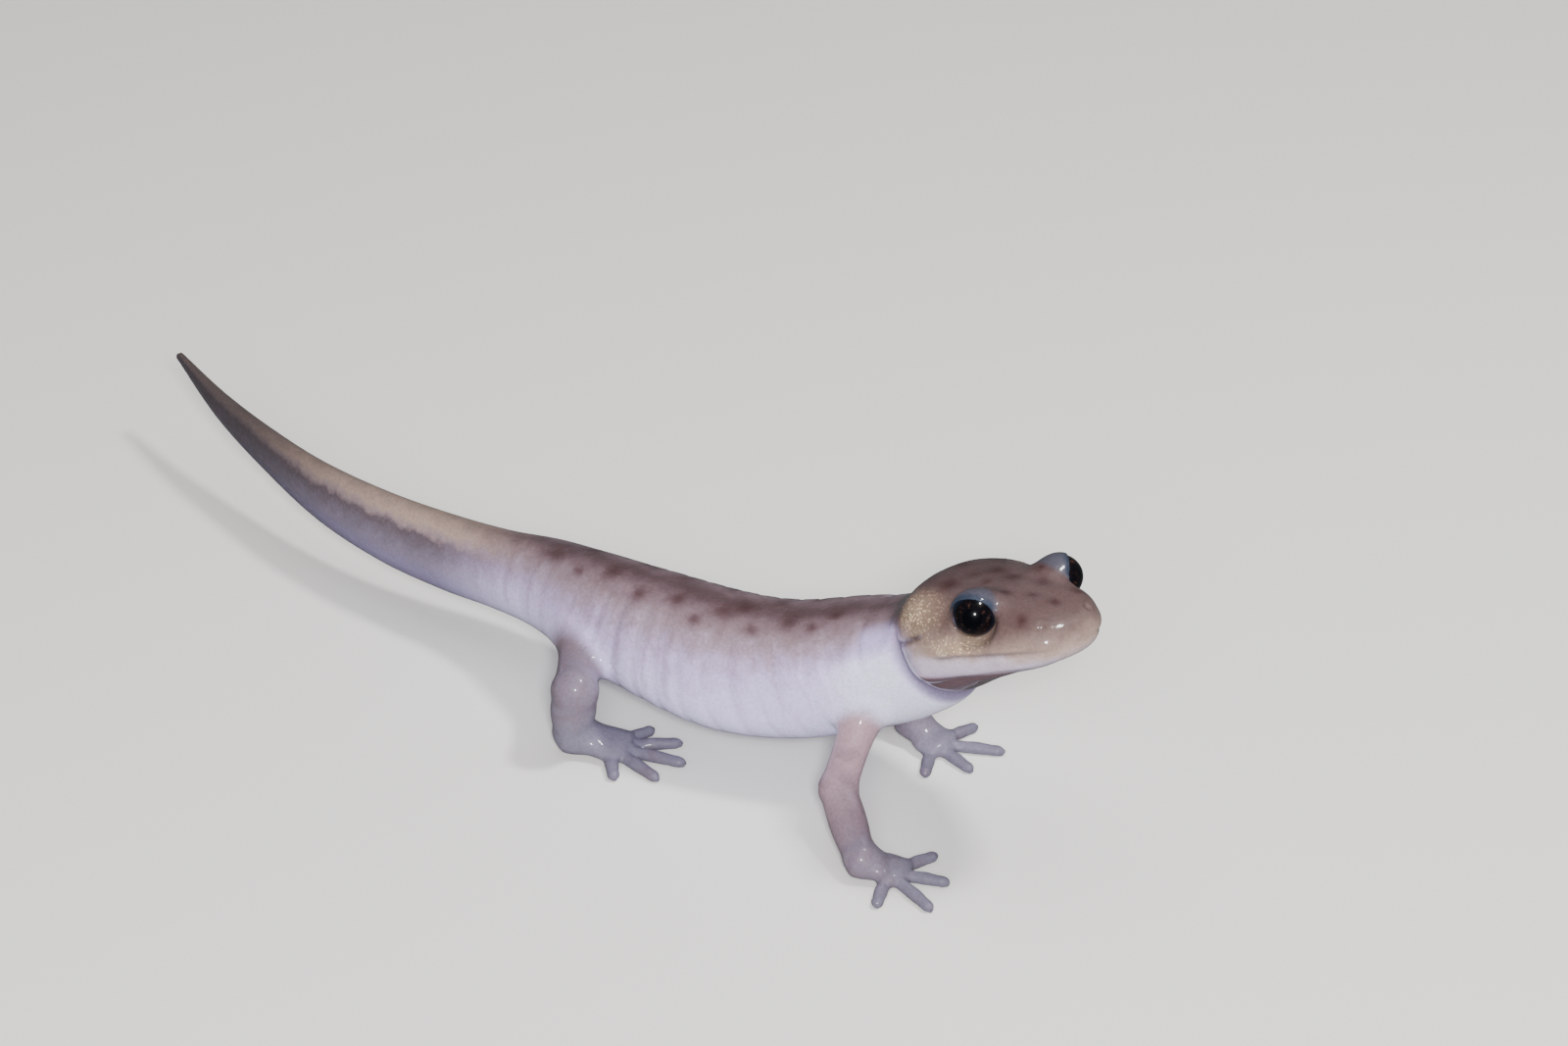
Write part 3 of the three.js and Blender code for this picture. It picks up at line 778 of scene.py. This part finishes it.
def makeSkin():
    look = skinLook
    material, tree = newMaterial("moistAmphibianSkin")
    place = addNode(tree, "ShaderNodeTexCoord").outputs["Object"]
    inMm = addNode(tree, "ShaderNodeMapping", None, {
        "Vector": place, "Scale": (1000, 1000, 1000)}).outputs[0]
    noises = {}
    for name, (scale, detail, rough) in look["noises"].items():
        noises[name] = addNode(tree, "ShaderNodeTexNoise", None, {
            "Vector": inMm, "Scale": scale, "Detail": detail, "Roughness": rough}).outputs["Fac"]
    noises["flecks"] = addNode(tree, "ShaderNodeTexVoronoi", None, {
        "Vector": inMm, "Scale": look["flecks"]}).outputs["Distance"]
    names = ["along"] + list(look["ramps"]) + [layer[0] for layer in look["layers"]]
    names += [by for by, _ in look["ramps"].values() if by]
    given = {name: addNode(tree, "ShaderNodeAttribute", {"attribute_name": name}).outputs["Fac"]
             for name in dict.fromkeys(names)}
    # faint upright streaks: noise that runs only along the body, bent a little by the mottles
    bent = addNode(tree, "ShaderNodeMath", {"operation": "MULTIPLY_ADD"}, {
        0: noises["mottles"], 1: look["streakBend"], 2: given["along"]}).outputs[0]
    scale, detail, rough = look["streaks"]
    noises["streaks"] = addNode(tree, "ShaderNodeTexNoise", {"noise_dimensions": "1D"}, {
        "W": bent, "Scale": scale, "Detail": detail, "Roughness": rough}).outputs["Fac"]

    # base colours by height on the body, the tail and the head, and by how far down the limbs,
    # with an uneven edge
    wobble = addNode(tree, "ShaderNodeMapRange", None, {
        "Value": noises["mottles"], "From Min": 0.25, "From Max": 0.75,
        "To Min": -look["wobble"], "To Max": look["wobble"]}).outputs[0]
    colour = None
    for name, (by, rows) in look["ramps"].items():
        read = addNode(tree, "ShaderNodeMath", {"operation": "ADD"}, {
            0: given[name], 1: wobble}).outputs[0]
        ramp = addNode(tree, "ShaderNodeValToRGB", None, {"Fac": read})
        fillRamp(ramp, rows)
        if by is None:
            colour = ramp.outputs["Color"]
        else:
            colour = addNode(tree, "ShaderNodeMix", {"data_type": "RGBA"}, {
                "Factor": given[by], 6: colour, 7: ramp.outputs["Color"]}).outputs[2]

    # one layer over another, each broken up by its noise
    for name, code, noise, low, high, strength in look["layers"]:
        broken = addNode(tree, "ShaderNodeMapRange", {"interpolation_type": "SMOOTHSTEP"}, {
            "Value": noises[noise], "From Min": low, "From Max": high, "To Max": strength}).outputs[0]
        mask = addNode(tree, "ShaderNodeMath", {"operation": "MULTIPLY"}, {
            0: given[name], 1: broken}).outputs[0]
        colour = addNode(tree, "ShaderNodeMix", {"data_type": "RGBA"}, {
            "Factor": mask, 6: colour, 7: linear(code)}).outputs[2]
    # grain of the pigment cells, up to a seventh darker or lighter
    darkest, lightest = look["grainTint"]
    grain = addNode(tree, "ShaderNodeMapRange", None, {
        "Value": noises["grain"], "From Min": 0.3, "From Max": 0.7,
        "To Min": darkest, "To Max": lightest}).outputs[0]
    colour = addNode(tree, "ShaderNodeMix", {"data_type": "RGBA", "blend_type": "MULTIPLY"}, {
        "Factor": 1.0, 6: colour, 7: grain}).outputs[2]

    granules = addNode(tree, "ShaderNodeTexVoronoi", {"feature": "SMOOTH_F1"}, {
        "Vector": inMm, "Scale": look["granules"],
        "Smoothness": look["granuleSoftness"]}).outputs["Distance"]
    relief = look["relief"]
    height = addNode(tree, "ShaderNodeMath", {"operation": "MULTIPLY_ADD"}, {
        0: noises["grain"], 1: relief["grain"], 2: granules}).outputs[0]
    bump = addNode(tree, "ShaderNodeBump", None, {
        "Strength": relief["strength"], "Distance": relief["distance"], "Height": height}).outputs[0]
    smoothest, roughest = look["roughness"]
    rough = addNode(tree, "ShaderNodeMapRange", None, {
        "Value": noises["patches"], "To Min": smoothest, "To Max": roughest}).outputs[0]
    shader = addNode(tree, "ShaderNodeBsdfPrincipled", None, {
        "Base Color": colour,
        "Roughness": rough,
        "IOR": 1.4,
        "Subsurface Weight": 0.25,
        "Subsurface Radius": (1.0, 0.5, 0.45),
        "Subsurface Scale": 0.0006,
        "Specular IOR Level": 0.35,
        "Coat Weight": look["wet"],
        "Coat Roughness": look["wetRoughness"],
        "Coat IOR": 1.33,
        "Normal": bump,
    })
    addNode(tree, "ShaderNodeOutputMaterial", None, {"Surface": shader.outputs[0]})
    return material


skinMaterial = makeSkin()
skin.data.materials.append(skinMaterial)

# Costal grooves: shallow upright furrows that repeat down each flank, one for each rib
grooves = {"First": 21.5, "Spacing": 1.75, "Width": 0.42, "Depth": 0.1}


def grooveTree():
    tree = bpy.data.node_groups.new("costalGrooves", "GeometryNodeTree")
    tree.interface.new_socket("Geometry", in_out="INPUT", socket_type="NodeSocketGeometry")
    for name in grooves:
        tree.interface.new_socket(name, in_out="INPUT", socket_type="NodeSocketFloat")
    tree.interface.new_socket("Geometry", in_out="OUTPUT", socket_type="NodeSocketGeometry")
    given = addNode(tree, "NodeGroupInput").outputs
    along, flank = (
        addNode(tree, "GeometryNodeInputNamedAttribute", {"data_type": "FLOAT"}, {"Name": name}).outputs[0]
        for name in ("along", "flank"))
    past = addNode(tree, "ShaderNodeMath", {"operation": "SUBTRACT"}, {
        0: along, 1: given["First"]}).outputs[0]
    half = addNode(tree, "ShaderNodeMath", {"operation": "MULTIPLY"}, {
        0: given["Spacing"], 1: 0.5}).outputs[0]
    gap = addNode(tree, "ShaderNodeMath", {"operation": "PINGPONG"}, {0: past, 1: half}).outputs[0]
    inward = addNode(tree, "ShaderNodeMapRange", {"interpolation_type": "SMOOTHSTEP"}, {
        "Value": gap, "From Min": 0.0, "From Max": given["Width"],
        "To Min": 1.0, "To Max": 0.0}).outputs[0]
    for factor in (flank, given["Depth"], -mm):
        inward = addNode(tree, "ShaderNodeMath", {"operation": "MULTIPLY"}, {
            0: inward, 1: factor}).outputs[0]
    normal = addNode(tree, "GeometryNodeInputNormal").outputs[0]
    offset = addNode(tree, "ShaderNodeVectorMath", {"operation": "SCALE"}, {
        0: normal, "Scale": inward}).outputs[0]
    moved = addNode(tree, "GeometryNodeSetPosition", None, {
        "Geometry": given["Geometry"], "Offset": offset}).outputs[0]
    real = addNode(tree, "GeometryNodeRealizeInstances", None, {"Geometry": moved}).outputs[0]
    painted = addNode(tree, "GeometryNodeSetMaterial", None, {
        "Geometry": real, "Material": skinMaterial}).outputs[0]
    addNode(tree, "NodeGroupOutput", None, {0: painted})
    return tree


def applyTree(piece, tree, values):
    modifier = piece.modifiers.new(tree.name, "NODES")
    modifier.node_group = tree
    sockets = {s.name: s.identifier for s in tree.interface.items_tree if s.in_out == "INPUT"}
    for name, value in values.items():
        modifier[sockets[name]] = value
    depsgraph = bpy.context.evaluated_depsgraph_get()
    made = bpy.data.meshes.new_from_object(piece.evaluated_get(depsgraph), depsgraph=depsgraph)
    piece.modifiers.remove(modifier)
    piece.data = made
    made.shade_smooth()
    return piece


applyTree(skin, grooveTree(), grooves)
print("costal grooves pressed in")

# Granular glands: low domes that stand close together on the swellings behind and below the eye
glands = {"Spacing": 0.00021, "Density": 9.0e6, "Radius": 0.000085, "Seed": 11}


def glandTree():
    tree = bpy.data.node_groups.new("granularGlands", "GeometryNodeTree")
    tree.interface.new_socket("Geometry", in_out="INPUT", socket_type="NodeSocketGeometry")
    for name in ("Spacing", "Density", "Radius"):
        tree.interface.new_socket(name, in_out="INPUT", socket_type="NodeSocketFloat")
    tree.interface.new_socket("Seed", in_out="INPUT", socket_type="NodeSocketInt")
    tree.interface.new_socket("Geometry", in_out="OUTPUT", socket_type="NodeSocketGeometry")
    given = addNode(tree, "NodeGroupInput").outputs
    where = addNode(tree, "GeometryNodeInputNamedAttribute", {"data_type": "FLOAT"}, {
        "Name": "granular"}).outputs[0]
    points = addNode(tree, "GeometryNodeDistributePointsOnFaces", {"distribute_method": "POISSON"}, {
        "Mesh": given["Geometry"], "Distance Min": given["Spacing"], "Density Max": given["Density"],
        "Density Factor": where, "Seed": given["Seed"]}).outputs
    dome = addNode(tree, "GeometryNodeMeshIcoSphere", None, {
        "Radius": given["Radius"], "Subdivisions": 2}).outputs[0]
    size = addNode(tree, "FunctionNodeRandomValue", {"data_type": "FLOAT"}, {
        2: 0.6, 3: 1.25, "Seed": given["Seed"]}).outputs[1]
    scale = addNode(tree, "ShaderNodeCombineXYZ", None, {0: size, 1: size, 2: 0.45}).outputs[0]
    domes = addNode(tree, "GeometryNodeInstanceOnPoints", None, {
        "Points": points["Points"], "Instance": dome,
        "Rotation": points["Rotation"], "Scale": scale}).outputs[0]
    real = addNode(tree, "GeometryNodeRealizeInstances", None, {"Geometry": domes}).outputs[0]
    painted = addNode(tree, "GeometryNodeSetMaterial", None, {
        "Geometry": real, "Material": skinMaterial}).outputs[0]
    addNode(tree, "NodeGroupOutput", None, {0: painted})
    return tree


glandPiece = bpy.data.objects.new("glands", skin.data.copy())
bpy.context.scene.collection.objects.link(glandPiece)
applyTree(glandPiece, glandTree(), glands)
print("glands:", len(glandPiece.data.polygons), "faces")

# Eyes: wet black balls with gold flecks in the iris round a wide night pupil
eyeLook = {
    "pupil": "#010205", "iris": "#060509", "gold": "#4a2f26", "edge": "#0b1220",
    "pupilEdge": 0.42, "irisFrom": 0.46, "irisTo": 0.9, "irisEdge": 1.15,  # in radians from the pupil
    "goldFrom": (0.42, 0.5), "goldTo": (0.95, 0.75),
    "specks": {"Scale": 3.4, "Detail": 5.0, "Roughness": 0.75}, "speckLevels": (0.55, 0.68),
    "rings": 40, "spokes": 64,
}


def makeEyeMaterial():
    material, tree = newMaterial("wetCornea")  # clear, polished and bulging: one sharp glint
    look = eyeLook
    fromPupil = addNode(tree, "ShaderNodeAttribute", {"attribute_name": "fromPupil"}).outputs["Fac"]
    place = addNode(tree, "ShaderNodeTexCoord").outputs["Object"]
    inMm = addNode(tree, "ShaderNodeMapping", None, {
        "Vector": place, "Scale": (1000, 1000, 1000)}).outputs[0]
    ramp = addNode(tree, "ShaderNodeValToRGB", None, {"Fac": fromPupil})
    fillRamp(ramp, [
        (0.0, look["pupil"]), (look["pupilEdge"], look["pupil"]), (look["irisFrom"], look["iris"]),
        (look["irisTo"], look["iris"]), (look["irisEdge"], look["edge"]),
    ])
    specks = addNode(tree, "ShaderNodeTexNoise", None, {
        "Vector": inMm, **look["specks"]}).outputs["Fac"]
    fleck = addNode(tree, "ShaderNodeMapRange", None, {
        "Value": specks, "From Min": look["speckLevels"][0], "From Max": look["speckLevels"][1]}).outputs[0]
    for none, full in (look["goldFrom"], look["goldTo"]):  # the flecks keep to the iris
        within = addNode(tree, "ShaderNodeMapRange", {"interpolation_type": "SMOOTHSTEP"}, {
            "Value": fromPupil, "From Min": none, "From Max": full}).outputs[0]
        fleck = addNode(tree, "ShaderNodeMath", {"operation": "MULTIPLY"}, {
            0: fleck, 1: within}).outputs[0]
    colour = addNode(tree, "ShaderNodeMix", {"data_type": "RGBA"}, {
        "Factor": fleck, 6: ramp.outputs["Color"], 7: linear(look["gold"])}).outputs[2]
    shader = addNode(tree, "ShaderNodeBsdfPrincipled", None, {
        "Base Color": colour, "Roughness": 0.3, "IOR": 1.38, "Specular IOR Level": 0.1,
        "Coat Weight": 0.9, "Coat Roughness": 0.02, "Coat IOR": 1.36})
    addNode(tree, "ShaderNodeOutputMaterial", None, {"Surface": shader.outputs[0]})
    return material


eyeMaterial = makeEyeMaterial()


def makeEye(name, side):
    rings, spokes = eyeLook["rings"], eyeLook["spokes"]
    axis = eyeDirection("gaze", side)
    first = unit(np.cross(axis, headUp))
    second = np.cross(axis, first)
    angles = np.linspace(0, math.pi, rings + 1)[1:-1]
    spins = np.arange(spokes) * 2 * math.pi / spokes
    points, far = [axis], [0.0]
    for angle in angles:
        for spin in spins:
            outward = first * math.cos(spin) + second * math.sin(spin)
            points.append(axis * math.cos(angle) + outward * math.sin(angle))
            far.append(angle)
    points.append(-axis)
    far.append(math.pi)
    far = np.array(far)
    bulge = eyeShape["radius"] * (0.985 + 0.035 * bell(far, 0, 0.75))
    points = eyeCentre(side) + np.array(points) * bulge[:, None]
    faces = []
    for ring in range(rings - 2):
        for k in range(spokes):
            a = 1 + ring * spokes + k
            b = 1 + ring * spokes + (k + 1) % spokes
            faces += [(a, a + spokes, b), (b, a + spokes, b + spokes)]
    last = len(points) - 1
    for k in range(spokes):
        nextOne = (k + 1) % spokes
        faces += [(0, 1 + k, 1 + nextOne), (last, last - spokes + nextOne, last - spokes + k)]
    faces = facedOut(points - eyeCentre(side), np.array(faces))
    piece = meshFrom(name, points, faces, {"fromPupil": far})
    piece.data.materials.append(eyeMaterial)
    return piece


eyes = {"eye_right": makeEye("eyeRight", -1), "eye_left": makeEye("eyeLeft", 1)}
print("eyes made")

# Floor and light: a plain pale floor, a soft room, and two small lamps, one near the camera and
# one above, that give the glints of the eyes and the wet skin
floorMaterial, floorTree = newMaterial("matteStudioFloor")
floorShader = addNode(floorTree, "ShaderNodeBsdfPrincipled", None, {
    "Base Color": linear("#efede9"), "Roughness": 0.9})
addNode(floorTree, "ShaderNodeOutputMaterial", None, {"Surface": floorShader.outputs[0]})
floorMesh = bpy.data.meshes.new("floor")
floorMesh.from_pydata([(-2, -2, 0), (2, -2, 0), (2, 2, 0), (-2, 2, 0)], [], [(0, 1, 2, 3)])
floorMesh.materials.append(floorMaterial)
floor = bpy.data.objects.new("floor", floorMesh)
bpy.context.scene.collection.objects.link(floor)
floor.visible_glossy = False  # keeps the pale floor out of the dark wet eyes

lamps = {
    "frontSoft": {"place": (0.20, -0.34, 0.26), "size": 0.2, "power": 1.3, "seen": False},
    "topSoft": {"place": (-0.05, 0.05, 0.55), "size": 0.5, "power": 0.9, "seen": False},
    "glintCamera": {"place": (0.235, -0.27, 0.235), "size": 0.055, "power": 1.5, "seen": True},
    "glintAbove": {"place": (0.135, 0.08, 0.30), "size": 0.05, "power": 0.7, "seen": True},
}
lampsAimAt = Vector((0.01, 0, 0.008))
for name, lamp in lamps.items():
    light = bpy.data.lights.new(name, "AREA")
    light.shape = "DISK"
    light.size = lamp["size"]
    light.energy = lamp["power"]
    holder = bpy.data.objects.new(name, light)
    holder.location = lamp["place"]
    aim = lampsAimAt - holder.location
    holder.rotation_euler = aim.to_track_quat("-Z", "Y").to_euler()
    holder.visible_glossy = lamp["seen"]  # the soft lamps leave no broad sheen on the wet skin
    bpy.context.scene.collection.objects.link(holder)
world = bpy.data.worlds.new("softRoom")
world.use_nodes = True
world.node_tree.nodes["Background"].inputs["Color"].default_value = linear("#eef0f4")
world.node_tree.nodes["Background"].inputs["Strength"].default_value = 0.12
bpy.context.scene.world = world
print("floor and lamps set")

fleshNodes = [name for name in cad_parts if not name.startswith("eye")]
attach(skin, "root")
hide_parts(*fleshNodes)
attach(glandPiece, "root")
for node, piece in eyes.items():
    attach(piece, "root")
    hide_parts(node)
